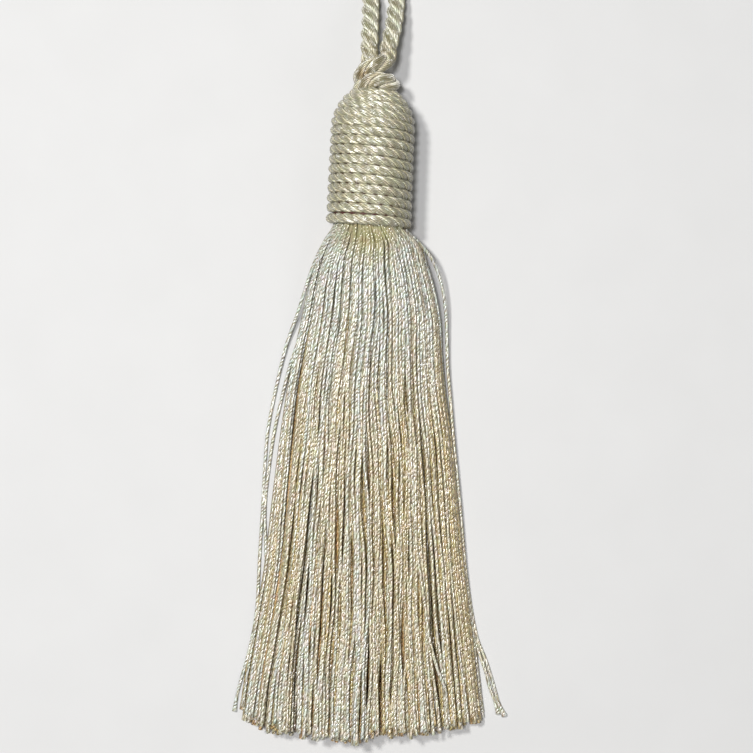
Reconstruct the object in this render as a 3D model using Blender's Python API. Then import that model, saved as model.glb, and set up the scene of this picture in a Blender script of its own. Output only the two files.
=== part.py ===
"""Silk tassel, lying on its back with its loop towards +Y and its skirt towards -Y.

The head is a round-topped form wound with cord, the neck carries a knot of the hanging cord, the loop of
that cord lies beyond it, and the skirt is a full bundle of twisted threads that spreads and flattens on the
surface. Sizes are in millimetres until a point goes into a mesh. X is across the tassel, Y along it, Z up,
and the origin is on the surface under the middle of the head.
"""

import math
import random

import bmesh
import bpy
import numpy as np
from mathutils import Vector

MM = 0.001

# Head: a dome on a slightly flared barrel, measured from the rim at its lower end
RIM_Y = -12.0
BARREL_LENGTH = 22.0
DOME_RISE = 10.5
HEAD_LENGTH = 31.0
RIM_RADIUS = 9.9
SHOULDER_RADIUS = 9.6
FLAT_DEPTH = 0.8
RECESS_RADIUS = 8.5
RECESS_DEPTH = 4.0

# The cord wound round the head
WINDING_PITCH = 2.16
WINDING_STEPS = 30
WINDING_START_RADIUS = 2.6
RIDGE_PROFILE = (0.0, 0.14, 0.52, 0.14)
SLIT_ABOVE_RIM = 2.55
SLIT_EXTRA_DEPTH = 0.33

# The hanging cord: three strands laid together
CORD_RADIUS = 1.9
CORD_GROOVE = 0.62
CORD_STRANDS = 3
CORD_LAY = 9.8
CORD_STEP = 1.1
LOBE_SHOULDER = 24.0
NECK_HEIGHT = 8.7

# Skirt: its root disc sits in the head's recess
ROOT_RADIUS = 8.1
ROOT_THICKNESS = 1.2
ROOT_GAP = 0.3
STRAND_COUNT = 200
STRAND_SHARE = 0.40
STRAND_RADIUS = 0.5
STRAND_JITTER = 0.06
HEM_MIDDLE = 119.0
HEM_SIDE_RISE = 5.5
HEM_UNEVEN = 1.7
STRAND_SEED = 11

# Each row is a section of the skirt: how far below the rim, the middle's x, half the width, half the height
# of the bundle, its lowest strand's height, and how far its underside is pressed flat (0 round, 1 flat)
SKIRT_COLUMNS = ("below_rim", "middle_x", "half_width", "half_height", "lowest", "pressed")
SKIRT_SECTIONS = (
    (-4.0, 0.0, 7.4, 7.4, 1.60, 0.00),
    (0.4, 0.0, 7.6, 7.4, 1.45, 0.00),
    (4.0, 0.6, 10.6, 7.2, 0.75, 0.30),
    (11.0, 0.7, 13.7, 7.0, 0.30, 0.75),
    (20.0, 0.6, 16.1, 6.7, 0.26, 0.95),
    (34.0, 1.3, 18.2, 6.1, 0.26, 1.00),
    (56.0, 1.8, 20.0, 5.5, 0.26, 1.00),
    (82.0, 2.2, 23.6, 5.0, 0.26, 1.00),
    (104.0, 3.0, 27.9, 4.6, 0.26, 1.00),
    (122.0, 3.2, 30.0, 4.4, 0.26, 1.00),
)
STRAND_RINGS = (-3.1, 0.5, 5.0, 14.0, 34.0, 68.0)

# Stray threads: which strand from the left (negative counts from the right), how far out it bows between
# two places below the rim, and how far its end spreads from the others
STRAY_COLUMNS = ("strand", "bow", "leaves", "rejoins", "end_spread")
STRAY_THREADS = (
    (0, -4.6, 14.0, 94.0, -0.4),
    (1, -3.2, 22.0, 86.0, -0.2),
    (-1, 2.4, 1.0, 26.0, 4.6),
    (-2, 0.0, 0.0, 1.0, 3.2),
)
STRAY_RADIUS = 0.32
SPREAD_SHARE = 0.2

# How the strands wander sideways as they hang loose
WANDER = 0.5
WANDER_GROWTH = 50.0
WANDER_LENGTH = 17.0
WANDER_TURNS = (5.0, 3.0)

# Routes of the knot's cord, a point a row: x, distance above the rim, and height over the neck's middle
KNOT_WRAP = (
    (2.75, 39.8, 0.3),
    (2.7, 38.7, 0.5),
    (2.3, 37.6, 1.4),
    (1.1, 36.7, 2.8),
    (-0.9, 35.9, 3.4),
    (-2.8, 35.1, 2.4),
    (-3.4, 34.4, 0.0),
    (-2.4, 33.8, -2.4),
    (0.0, 33.5, -3.4),
    (2.4, 33.4, -2.4),
    (3.6, 33.4, 0.0),
    (2.9, 33.3, 2.3),
    (0.9, 33.2, 3.3),
    (-1.1, 33.1, 2.7),
)
KNOT_STEM = (
    (-1.55, 39.8, 0.3),
    (-1.45, 38.3, 0.3),
    (-1.0, 36.6, 0.2),
    (0.0, 34.8, 0.1),
    (0.4, 33.2, 0.0),
    (0.4, 31.4, 0.0),
)

# The hanging loop's route, a point a row: x, distance above the rim, and height of the cord's middle
LOOP_ROUTE = (
    (-1.55, 40.1, 9.0),
    (-1.6, 42.4, 8.5),
    (-1.7, 45.6, 7.2),
    (-1.75, 50.0, 5.0),
    (-1.9, 54.5, 3.0),
    (-2.3, 59.0, 2.1),
    (-3.1, 64.5, 1.95),
    (-4.5, 71.5, 1.95),
    (-6.1, 79.5, 1.95),
    (-7.3, 87.5, 1.95),
    (-7.4, 94.5, 1.95),
    (-5.8, 100.7, 1.95),
    (-2.5, 104.7, 1.95),
    (1.7, 105.8, 1.95),
    (5.8, 104.0, 1.95),
    (8.9, 99.6, 1.95),
    (10.1, 93.0, 1.95),
    (9.8, 86.0, 1.95),
    (8.6, 78.0, 1.95),
    (7.1, 70.5, 1.95),
    (5.8, 64.0, 1.95),
    (4.9, 59.0, 2.1),
    (4.35, 54.5, 3.0),
    (4.05, 50.0, 5.0),
    (3.6, 45.6, 7.2),
    (3.05, 42.4, 8.5),
    (2.75, 40.1, 9.0),
)

SILK_CREAM = (0.74, 0.70, 0.56, 1.0)
SILK_OLIVE = (0.68, 0.65, 0.50, 1.0)


def clear_scene():
    for old in list(bpy.data.objects):
        bpy.data.objects.remove(old, do_unlink=True)


def silk_material(name, colour, roughness):
    material = bpy.data.materials.new(name)
    material.use_nodes = True
    shader = material.node_tree.nodes["Principled BSDF"]
    shader.inputs["Base Color"].default_value = colour
    shader.inputs["Roughness"].default_value = roughness
    shader.inputs["Metallic"].default_value = 0.0
    return material


def object_from_bmesh(name, shape, material=None):
    bmesh.ops.recalc_face_normals(shape, faces=shape.faces[:])
    mesh = bpy.data.meshes.new(name)
    shape.to_mesh(mesh)
    shape.free()
    made = bpy.data.objects.new(name, mesh)
    bpy.context.scene.collection.objects.link(made)
    if material:
        mesh.materials.append(material)
    return made


def helper(made):
    made.hide_render = True
    made.display_type = "WIRE"
    return made


def joined(name, base, other):
    """Boolean union of a helper into the base object."""
    union = base.modifiers.new(name, "BOOLEAN")
    union.operation = "UNION"
    union.solver = "EXACT"
    union.object = helper(other)


def smooth_route(points, step):
    """Points about one step apart on the centripetal Catmull-Rom curve through a route's points."""
    route = np.array(points, float)
    route = np.vstack([2 * route[0] - route[1], route, 2 * route[-1] - route[-2]])
    knots = np.concatenate([[0.0], np.cumsum(np.linalg.norm(np.diff(route, axis=0), axis=1) ** 0.5)])
    dense = [route[1]]
    for i in range(1, len(route) - 2):
        t0, t1, t2, t3 = knots[i - 1 : i + 3]
        t = np.linspace(t1, t2, 41)[1:, None]
        a1 = (t1 - t) / (t1 - t0) * route[i - 1] + (t - t0) / (t1 - t0) * route[i]
        a2 = (t2 - t) / (t2 - t1) * route[i] + (t - t1) / (t2 - t1) * route[i + 1]
        a3 = (t3 - t) / (t3 - t2) * route[i + 1] + (t - t2) / (t3 - t2) * route[i + 2]
        b1 = (t2 - t) / (t2 - t0) * a1 + (t - t0) / (t2 - t0) * a2
        b2 = (t3 - t) / (t3 - t1) * a2 + (t - t1) / (t3 - t1) * a3
        dense.extend((t2 - t) / (t2 - t1) * b1 + (t - t1) / (t2 - t1) * b2)
    dense = np.array(dense)
    along = np.concatenate([[0.0], np.cumsum(np.linalg.norm(np.diff(dense, axis=0), axis=1))])
    wanted = np.linspace(0.0, along[-1], max(2, round(along[-1] / step)) + 1)
    return np.stack([np.interp(wanted, along, dense[:, axis]) for axis in range(3)], axis=1)


def lobed_section():
    """Angle and radius of each corner of the cord's section: two shoulders and a groove for each strand."""
    corners = []
    for lobe in range(CORD_STRANDS):
        crown = 2 * math.pi * lobe / CORD_STRANDS
        shoulder = math.radians(LOBE_SHOULDER)
        corners.append((crown - shoulder, CORD_RADIUS))
        corners.append((crown + shoulder, CORD_RADIUS))
        corners.append((crown + math.pi / CORD_STRANDS, CORD_RADIUS - CORD_GROOVE))
    return corners


def laid_cord(points):
    """A closed tube with a lobed section that turns once in each lay, like three strands laid together."""
    shape = bmesh.new()
    tangents = np.gradient(points, axis=0)
    tangents /= np.linalg.norm(tangents, axis=1)[:, None]
    side = Vector(tangents[0]).orthogonal().normalized()
    travelled = 0.0
    rings = []
    for i, (point, tangent) in enumerate(zip(points, tangents)):
        if i:
            travelled += float(np.linalg.norm(point - points[i - 1]))
            side = Vector(tangents[i - 1]).rotation_difference(Vector(tangent)) @ side
        lift = Vector(tangent).cross(side)
        lay_turn = 2 * math.pi * travelled / CORD_LAY
        ring = []
        for angle, radius in lobed_section():
            offset = (side * math.cos(angle - lay_turn) + lift * math.sin(angle - lay_turn)) * radius
            ring.append(shape.verts.new((Vector(point) + offset) * MM))
        rings.append(ring)
    close_tube(shape, rings)
    return shape


def close_tube(shape, rings):
    """Faces between rings of the same number of points, and a face over each end."""
    sides = len(rings[0])
    for ring, following in zip(rings, rings[1:]):
        for corner in range(sides):
            after = (corner + 1) % sides
            shape.faces.new((ring[corner], ring[after], following[after], following[corner]))
    shape.faces.new(rings[0][::-1])
    shape.faces.new(rings[-1])


def head_outline():
    """Distance walked, radius, height above the rim and outward direction along the head's outline.

    It runs over the flat top, round the dome, down the flared barrel and a little past the rim.
    """
    top_rise = HEAD_LENGTH - BARREL_LENGTH
    angles = np.linspace(math.asin(top_rise / DOME_RISE), 0.0, 60)
    outline = [(WINDING_START_RADIUS, HEAD_LENGTH)]
    outline += [(SHOULDER_RADIUS * math.cos(a), BARREL_LENGTH + DOME_RISE * math.sin(a)) for a in angles]
    outline += [(RIM_RADIUS, 0.0), (RIM_RADIUS, -2 * WINDING_PITCH)]
    outline = np.array(outline)
    walked = np.concatenate([[0.0], np.cumsum(np.linalg.norm(np.diff(outline, axis=0), axis=1))])
    even = np.arange(0.0, walked[-1], 0.1)
    radius = np.interp(even, walked, outline[:, 0])
    above = np.interp(even, walked, outline[:, 1])
    slope = np.stack([np.gradient(radius), np.gradient(above)], axis=1)
    slope /= np.linalg.norm(slope, axis=1)[:, None]
    return np.column_stack([even, radius, above, -slope[:, 1], slope[:, 0]])


def axis_height(above_rim):
    """The head's middle over the surface: it lies on its barrel, pressed in by its flat spot."""
    share = min(max(above_rim / BARREL_LENGTH, 0.0), 1.0)
    return RIM_RADIUS + (SHOULDER_RADIUS - RIM_RADIUS) * share - FLAT_DEPTH


def winding_depth(above_rim, turn, row):
    """How far the surface lies inside a turn's crest; the lowest groove gapes a little on the upper side."""
    depth = RIDGE_PROFILE[row]
    if row == 2 and abs(above_rim - SLIT_ABOVE_RIM) < 0.5 * WINDING_PITCH:
        depth += SLIT_EXTRA_DEPTH * max(0.0, math.sin(turn)) ** 2
    return depth


def wound_head(material):
    shape = bmesh.new()
    rows = len(RIDGE_PROFILE)
    outline = head_outline()
    steps = math.floor(outline[-1, 0] / WINDING_PITCH - 1) * WINDING_STEPS
    grid = []
    for step in range(steps + WINDING_STEPS + 1):
        turn = -2 * math.pi * step / WINDING_STEPS
        column = []
        for row in range(rows):
            along = WINDING_PITCH * (step / WINDING_STEPS + row / rows)
            radius, above, out, up = (np.interp(along, outline[:, 0], outline[:, i]) for i in (1, 2, 3, 4))
            depth = winding_depth(above, turn, row)
            radius = radius - depth * out
            height = max(axis_height(above) + radius * math.sin(turn), 0.0)
            along_y = RIM_Y + above - depth * up
            column.append(shape.verts.new(Vector((radius * math.cos(turn), along_y, height)) * MM))
        grid.append(column)
    for step in range(steps):
        for row in range(rows):
            here, after = grid[step], grid[step + 1]
            if row + 1 < rows:
                below, below_after = here[row + 1], after[row + 1]
            else:
                below, below_after = grid[step + WINDING_STEPS][0], grid[step + WINDING_STEPS + 1][0]
            shape.faces.new((here[row], after[row], below_after, below))
    edge = [grid[step][0] for step in range(WINDING_STEPS + 1)]
    edge += [grid[0][row] for row in range(rows - 1, 0, -1)]
    middle = shape.verts.new(Vector((0.0, RIM_Y + HEAD_LENGTH, axis_height(HEAD_LENGTH))) * MM)
    for first, second in zip(edge, edge[1:] + edge[:1]):
        shape.faces.new((first, second, middle))
    cut_at_rim(shape)
    return object_from_bmesh("wound_head", shape, material)


def cut_at_rim(shape):
    """Cuts the barrel square at the rim, turns the edge in and sinks the recess for the skirt's root."""
    everything = shape.verts[:] + shape.edges[:] + shape.faces[:]
    bmesh.ops.bisect_plane(
        shape,
        geom=everything,
        dist=1e-7,
        plane_co=(0.0, RIM_Y * MM, 0.0),
        plane_no=(0.0, -1.0, 0.0),
        clear_outer=True,
    )
    rim = [edge for edge in shape.edges if edge.is_boundary]
    middle = Vector((0.0, RIM_Y, axis_height(0.0))) * MM
    for depth in (0.0, RECESS_DEPTH):
        grown = bmesh.ops.extrude_edge_only(shape, edges=rim)["geom"]
        rim = [piece for piece in grown if isinstance(piece, bmesh.types.BMEdge)]
        for vert in {vert for edge in rim for vert in edge.verts}:
            outward = Vector((vert.co.x - middle.x, 0.0, vert.co.z - middle.z)).normalized()
            vert.co = middle + outward * RECESS_RADIUS * MM + Vector((0.0, depth * MM, 0.0))
    bmesh.ops.contextual_create(shape, geom=rim)


def skirt_section(below_rim):
    table = np.array(SKIRT_SECTIONS)
    return {
        name: np.interp(below_rim, table[:, 0], table[:, column])
        for column, name in enumerate(SKIRT_COLUMNS)
    }


def place_in_skirt(across, up, below_rim):
    """Where a strand lies at a section: the round bundle widens, sinks and is pressed flat below.

    The disc's place (across, up) goes to x = middle + half_width * across and to
    z = lowest + half_height * (up + (1 - pressed) + pressed * sqrt(1 - across^2)), with a wander in x.
    """
    section = skirt_section(below_rim)
    reach = np.sqrt(np.maximum(0.0, 1.0 - across * across))
    loose = np.clip(below_rim / WANDER_GROWTH, 0.0, 1.0)
    phase = below_rim / WANDER_LENGTH + WANDER_TURNS[0] * across + WANDER_TURNS[1] * up
    x = section["middle_x"] + section["half_width"] * across + WANDER * loose * np.sin(phase)
    lift = up + (1.0 - section["pressed"]) + section["pressed"] * reach
    z = section["lowest"] + section["half_height"] * lift
    return np.stack([x, RIM_Y - below_rim + 0.0 * x, z], axis=-1)


def room_for_strands(places, below_rim):
    """Each strand's radius at a section: a share of the distance to its nearest neighbour, with a limit."""
    spots = place_in_skirt(places[:, 0], places[:, 1], below_rim)[:, [0, 2]]
    apart = np.linalg.norm(spots[:, None] - spots[None], axis=2)
    np.fill_diagonal(apart, np.inf)
    return np.minimum(STRAND_SHARE * apart.min(axis=1), STRAND_RADIUS)


def bundle_places(chance):
    """Places in a unit disc from a golden-ratio lattice, which stays even however it is stretched."""
    golden = (1 + math.sqrt(5)) / 2
    scale = math.sqrt(math.pi / STRAND_COUNT / math.sqrt(5))
    jitter = STRAND_JITTER * math.sqrt(math.pi / STRAND_COUNT)
    reach = range(-60, 61)
    places = []
    for first in reach:
        for second in reach:
            across = scale * (first + second * golden)
            up = scale * (first + second * (1 - golden))
            if across * across + up * up < 1.0:
                across += chance.uniform(-jitter, jitter)
                up += chance.uniform(-jitter, jitter)
                places.append((across, up))
    return np.array(sorted(places))


def strand(shape, points, radii):
    """A three-sided strand with a ring at each point, flat side down, closed at both ends."""
    tangents = np.gradient(np.array(points), axis=0)
    rings = []
    for point, tangent, radius in zip(points, tangents, radii):
        along = Vector(tangent).normalized()
        side = along.cross(Vector((0.0, 0.0, 1.0))).normalized()
        lift = side.cross(along)
        ring = []
        for angle in map(math.radians, (90, 210, 330)):
            offset = (side * math.cos(angle) + lift * math.sin(angle)) * radius
            ring.append(shape.verts.new((Vector(point) + offset) * MM))
        rings.append(ring)
    close_tube(shape, rings)


def strand_bundle():
    """Every strand from the root disc to its own cut end, the strays among them bowed out of the bundle."""
    chance = random.Random(STRAND_SEED)
    places = bundle_places(chance)
    sections = STRAND_RINGS + (HEM_MIDDLE,)
    room = np.array([room_for_strands(places, below) for below in sections])
    strays = {row[0] % len(places): dict(zip(STRAY_COLUMNS, row)) for row in STRAY_THREADS}
    shape = bmesh.new()
    for number, (across, up) in enumerate(places):
        end = HEM_MIDDLE - HEM_SIDE_RISE * across * across + chance.uniform(-HEM_UNEVEN, HEM_UNEVEN)
        rings = STRAND_RINGS + (end,)
        stray = strays.get(number)
        if stray:
            rings = sorted(rings + ((stray["leaves"] + stray["rejoins"]) / 2, 0.8 * stray["rejoins"]))
        points = [place_in_skirt(across, up, below) for below in rings]
        radii = np.interp(rings, sections, room[:, number])
        if stray:
            points = [bowed_out(stray, point, below, end) for point, below in zip(points, rings)]
            radii = np.minimum(radii, STRAY_RADIUS)
        strand(shape, points, radii)
    return object_from_bmesh("strand_bundle", shape)


def bowed_out(stray, point, below_rim, end):
    """Moves a stray thread's point out of the bundle by a soft bow, and spreads its last stretch."""
    share = min(max((below_rim - stray["leaves"]) / (stray["rejoins"] - stray["leaves"]), 0.0), 1.0)
    spread = max(0.0, below_rim / end - 1.0 + SPREAD_SHARE) / SPREAD_SHARE
    outward = stray["bow"] * math.sin(math.pi * share) ** 2 + stray["end_spread"] * spread
    return point + np.array([outward, 0.0, 0.0])


def thread_skirt(material):
    """The root disc in the recess, with every strand's root fused into it."""
    shape = bmesh.new()
    bmesh.ops.create_cone(
        shape,
        cap_ends=True,
        segments=40,
        radius1=ROOT_RADIUS * MM,
        radius2=ROOT_RADIUS * MM,
        depth=ROOT_THICKNESS * MM,
    )
    made = object_from_bmesh("thread_skirt", shape, material)
    made.rotation_euler = (math.pi / 2, 0.0, 0.0)
    root_y = RIM_Y + RECESS_DEPTH - ROOT_GAP - ROOT_THICKNESS / 2
    made.location = Vector((0.0, root_y, axis_height(0.0))) * MM
    joined("fuse_roots", made, strand_bundle())
    return made


def over_neck(points):
    return np.array([(x, RIM_Y + above, NECK_HEIGHT + over) for x, above, over in points])


def neck_knot(material):
    """The cord's right leg wrapped round the left one, which runs on down into the top of the head."""
    wrap = laid_cord(smooth_route(over_neck(KNOT_WRAP), CORD_STEP))
    made = object_from_bmesh("neck_knot", wrap, material)
    stem = laid_cord(smooth_route(over_neck(KNOT_STEM), CORD_STEP))
    joined("stem", made, object_from_bmesh("knot_stem", stem))
    return made


def hanging_loop(material):
    route = [(x, RIM_Y + above, height) for x, above, height in LOOP_ROUTE]
    return object_from_bmesh("hanging_loop", laid_cord(smooth_route(route, CORD_STEP)), material)


clear_scene()
wound_head(silk_material("head_silk", SILK_OLIVE, 0.42))
neck_knot(silk_material("knot_silk", SILK_OLIVE, 0.45))
hanging_loop(silk_material("loop_silk", SILK_CREAM, 0.42))
thread_skirt(silk_material("skirt_silk", SILK_CREAM, 0.38))
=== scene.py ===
import math

import bpy
import numpy as np
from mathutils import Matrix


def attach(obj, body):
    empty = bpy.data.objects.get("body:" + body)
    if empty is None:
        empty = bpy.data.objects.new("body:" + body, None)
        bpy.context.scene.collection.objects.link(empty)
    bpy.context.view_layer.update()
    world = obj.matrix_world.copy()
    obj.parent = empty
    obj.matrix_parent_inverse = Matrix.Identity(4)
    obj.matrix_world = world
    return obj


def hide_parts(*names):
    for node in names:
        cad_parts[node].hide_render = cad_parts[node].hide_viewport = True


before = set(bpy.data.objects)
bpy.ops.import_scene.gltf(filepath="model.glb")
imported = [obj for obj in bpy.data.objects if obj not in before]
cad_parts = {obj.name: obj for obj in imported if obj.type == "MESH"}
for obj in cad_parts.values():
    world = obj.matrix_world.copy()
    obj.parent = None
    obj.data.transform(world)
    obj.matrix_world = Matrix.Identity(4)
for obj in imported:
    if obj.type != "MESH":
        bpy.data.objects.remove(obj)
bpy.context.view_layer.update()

# Silk tassel lying on its back: the loop towards +Y, the skirt towards -Y, the surface at Z 0. Sizes
# are in millimetres until a mesh is made.
mm = 0.001
rimY = -12.0  # lower edge of the head; "above" and "below" are measured from it

cameraSet = {
    "aim": (3.40, -46.84),  # middle of the view on the tassel's own axes
    "lean": 2.554,  # degrees by which the tassel leans to the right
    "distance": 450.0,
    "level": 9.0,  # height at which the width is seen
    "width": 173.2,
}


def placeCamera(look):
    # Straight above the aim. The lens is the sensor's width times the distance over the width seen.
    data = bpy.data.cameras.new("camera")
    data.lens = data.sensor_width * look["distance"] / look["width"]
    data.clip_start, data.clip_end = 0.01, 20.0
    eye = bpy.data.objects.new("camera", data)
    eye.location = [v * mm for v in (*look["aim"], look["level"] + look["distance"])]
    eye.rotation_euler = (0.0, 0.0, math.radians(look["lean"]))
    bpy.context.scene.collection.objects.link(eye)
    bpy.context.scene.camera = eye


placeCamera(cameraSet)
print("camera placed")


def distancesAlong(line):
    # How far each point lies along the line: the sum of the steps up to it.
    return np.concatenate([[0.0], np.cumsum(np.linalg.norm(np.diff(line, axis=0), axis=1))])


def evenly(line, step):
    # The same line with points at equal distances, close to the step asked for.
    walked = distancesAlong(line)
    wanted = np.linspace(0.0, walked[-1], max(2, round(walked[-1] / step)) + 1)
    return np.stack([np.interp(wanted, walked, line[:, axis]) for axis in range(3)], axis=1)


def smoothRoute(points, step, samples=40):
    # Centripetal curve through the points: between two of them it blends their neighbours' straight
    # lines, weighted by the square roots of the distances, so that it neither loops nor overshoots.
    points = np.array(points, float)
    points = np.vstack([2 * points[0] - points[1], points, 2 * points[-1] - points[-2]])
    knots = np.concatenate([[0.0], np.cumsum(np.linalg.norm(np.diff(points, axis=0), axis=1) ** 0.5)])
    spans = len(points) - 3
    p = [points[i:i + spans, None] for i in range(4)]
    k = [knots[i:i + spans, None, None] for i in range(4)]
    t = k[1] + (k[2] - k[1]) * np.linspace(0.0, 1.0, samples, endpoint=False)[None, :, None]

    def between(a, b, start, end):
        # At t: a at the start, b at the end, and straight from one to the other.
        return ((end - t) * a + (t - start) * b) / (end - start)

    first, second, third = (between(p[i], p[i + 1], k[i], k[i + 1]) for i in range(3))
    line = between(between(first, second, k[0], k[2]), between(second, third, k[1], k[3]), k[1], k[2])
    return evenly(np.vstack([line.reshape(-1, 3), points[-2]]), step)


def directions(line):
    # Two unit vectors square to a line. The first starts upright and is carried from point to point,
    # losing only what lies along the line; the second is its cross product with the line's direction.
    tangent = np.gradient(line, axis=0)
    tangent /= np.linalg.norm(tangent, axis=1)[:, None]
    held = np.array((0.0, 0.0, 1.0))
    side = np.empty_like(line)
    for place, along in enumerate(tangent):
        held = held - (held @ along) * along
        held /= np.linalg.norm(held)
        side[place] = held
    return side, np.cross(tangent, side)


def softFloor(height, floor, width=0.3):
    # The height, turned smoothly into the floor where it would go below: the floor plus half of what is
    # over it, plus half the root of that squared and the width squared.
    over = height - floor
    return floor + 0.5 * (over + np.sqrt(over * over + width * width))


def tubeFaces(grid, run, low, high, firstVertex):
    # Faces of closed tubes given as grid[tube, ring, corner]. Each cell of the grid is a quad. The
    # cells before the first ring and after the last are triangles to a point in the middle of that end.
    # Returns each face's corners, the map of distance and turn, a map that lays the tubes in rows
    # between low and high, a long tube folded into several, and which of the four corners are used.
    tubes, rings, corners = grid.shape[:3]
    tube, ring, corner = (part.ravel() for part in np.meshgrid(
        np.arange(tubes), np.arange(-1, rings), np.arange(corners), indexing="ij"))
    margin = 0.02  # share of a row left free on each side
    folds = max(1, round(math.sqrt(rings / (tubes * corners))))
    perFold = math.ceil((rings + 1) / folds)
    fold = (ring + 1) // perFold
    row = tube * folds + fold
    start = firstVertex + tube * (rings * corners + 2)
    loops, runMap, rowMap = [], [], []
    for r, k in ((ring, corner), (ring, corner + 1), (ring + 1, corner + 1), (ring + 1, corner)):
        middle = np.where(r < 0, rings * corners, rings * corners + 1)
        loops.append(start + np.where((r < 0) | (r == rings), middle, r * corners + k % corners))
        runMap.append(np.stack([run[tube, np.clip(r, 0, rings - 1)], k / corners], axis=1))
        across = (row + margin + (1 - 2 * margin) * k / corners) / (tubes * folds)
        rowMap.append(np.stack([(r + 1 - fold * perFold) / perFold, low + (high - low) * across], axis=1))
    used = np.ones((len(tube), 4), bool)
    used[ring == -1, 1] = False
    used[ring == rings - 1, 3] = False
    return [np.stack(part, axis=1) for part in (loops, runMap, rowMap)] + [used]


def tubePiece(name, blocks, material, endRise=0.0):
    # One mesh from blocks of tubes. A block is a grid of points, the distance run at each ring, a tint
    # for each tube and how near each point lies to the tube's edge. The middle of each end stands out
    # by endRise.
    vertices, tints, edges, faces, low, first = [], [], [], [], 0.0, 0
    cells = [grid.shape[0] * (grid.shape[1] + 1) * grid.shape[2] for grid, *_ in blocks]
    for (grid, run, tint, edge), share in zip(blocks, np.array(cells) / sum(cells)):
        tubes, rings, corners = grid.shape[:3]
        middles = grid.mean(axis=2)
        ends = middles[:, [0, -1]]
        outward = ends - middles[:, [1, -2]]
        outward /= np.linalg.norm(outward, axis=2)[..., None]
        points = np.concatenate([grid.reshape(tubes, -1, 3), ends + endRise * outward], axis=1)
        faces.append(tubeFaces(grid, run, low, low + share, first))
        vertices.append(points.reshape(-1, 3))
        tints.append(np.repeat(tint, points.shape[1]))
        edge = np.broadcast_to(edge, grid.shape[:3]).reshape(tubes, -1)
        edges.append(np.hstack([edge, np.zeros((tubes, 2))]).ravel())
        low, first = low + share, first + len(vertices[-1])
    used = np.concatenate([part[3] for part in faces])
    loops, runMap, rowMap = (np.concatenate([part[i] for part in faces])[used] for i in range(3))
    marks = {"tint": np.concatenate(tints), "edge": np.concatenate(edges)}
    return newPiece(name, np.concatenate(vertices), loops, used.sum(axis=1),
                    {"OFBake": rowMap, "run": runMap}, marks, material)


def newPiece(name, vertices, loops, sizes, maps, marks, material):
    # An object at the origin from points in millimetres. Loops name each face's corners one after
    # another and sizes say how many it has; maps are UV maps and marks are values on the points.
    mesh = bpy.data.meshes.new(name)
    mesh.vertices.add(len(vertices))
    mesh.vertices.foreach_set("co", (vertices * mm).astype(np.float32).ravel())
    mesh.loops.add(len(loops))
    mesh.loops.foreach_set("vertex_index", loops.astype(np.int32))
    mesh.polygons.add(len(sizes))
    mesh.polygons.foreach_set("loop_start", np.concatenate([[0], np.cumsum(sizes)[:-1]]).astype(np.int32))
    mesh.polygons.foreach_set("use_smooth", np.ones(len(sizes), bool))
    mesh.update(calc_edges=True)
    for mapName, places in maps.items():
        mesh.uv_layers.new(name=mapName).uv.foreach_set("vector", places.astype(np.float32).ravel())
    for markName, values in marks.items():
        mesh.attributes.new(markName, "FLOAT", "POINT").data.foreach_set("value", values.astype(np.float32))
    mesh.materials.append(material)
    piece = bpy.data.objects.new(name, mesh)
    bpy.context.scene.collection.objects.link(piece)
    print(name, "has", int((sizes - 2).sum()), "triangles")
    return piece


def addNode(tree, kind, inputs=None, **settings):
    # A shader node. Inputs are sockets to link from or plain values, named or numbered as its own
    # sockets are.
    node = tree.nodes.new(kind)
    for key, value in settings.items():
        setattr(node, key, value)
    for key, value in (inputs or {}).items():
        if isinstance(value, bpy.types.NodeSocket):
            tree.links.new(value, node.inputs[key])
        else:
            node.inputs[key].default_value = value
    return node


def maths(tree, operation, *values, **settings):
    # The operation on one to three numbers.
    values = dict(enumerate(values))
    return addNode(tree, "ShaderNodeMath", values, operation=operation, **settings).outputs[0]


def vectorMaths(tree, operation, *values):
    # The operation on one to three vectors or colours.
    values = dict(enumerate(values))
    return addNode(tree, "ShaderNodeVectorMath", values, operation=operation).outputs[0]


def ranged(tree, value, start, end, first=0.0, last=1.0, **settings):
    # A value that runs from start to end, made to run from first to last and held there.
    return addNode(tree, "ShaderNodeMapRange", {
        0: value, 1: start, 2: end, 3: first, 4: last}, **settings).outputs[0]


def mixed(tree, share, a, b):
    # Colour a where the share is 0, colour b where it is 1.
    return addNode(tree, "ShaderNodeMix", {0: share, 6: a, 7: b}, data_type="RGBA").outputs[2]


def noise(tree, place, scale, detail, roughness=0.5):
    # Outputs of a noise: 0 is a number about a half, 1 a colour.
    return addNode(tree, "ShaderNodeTexNoise", {
        "Vector": place, "Scale": scale, "Detail": detail, "Roughness": roughness}).outputs


def startGroup(name, takes, gives):
    # A node group with named sockets; takes and gives are name, kind and starting value.
    group = bpy.data.node_groups.new(name, "ShaderNodeTree")
    for direction, sockets in (("INPUT", takes), ("OUTPUT", gives)):
        for label, kind, value in sockets:
            socket = group.interface.new_socket(label, in_out=direction, socket_type="NodeSocket" + kind)
            if value is not None:
                socket.default_value = value
    return group, addNode(group, "NodeGroupInput").outputs, addNode(group, "NodeGroupOutput").inputs


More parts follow.
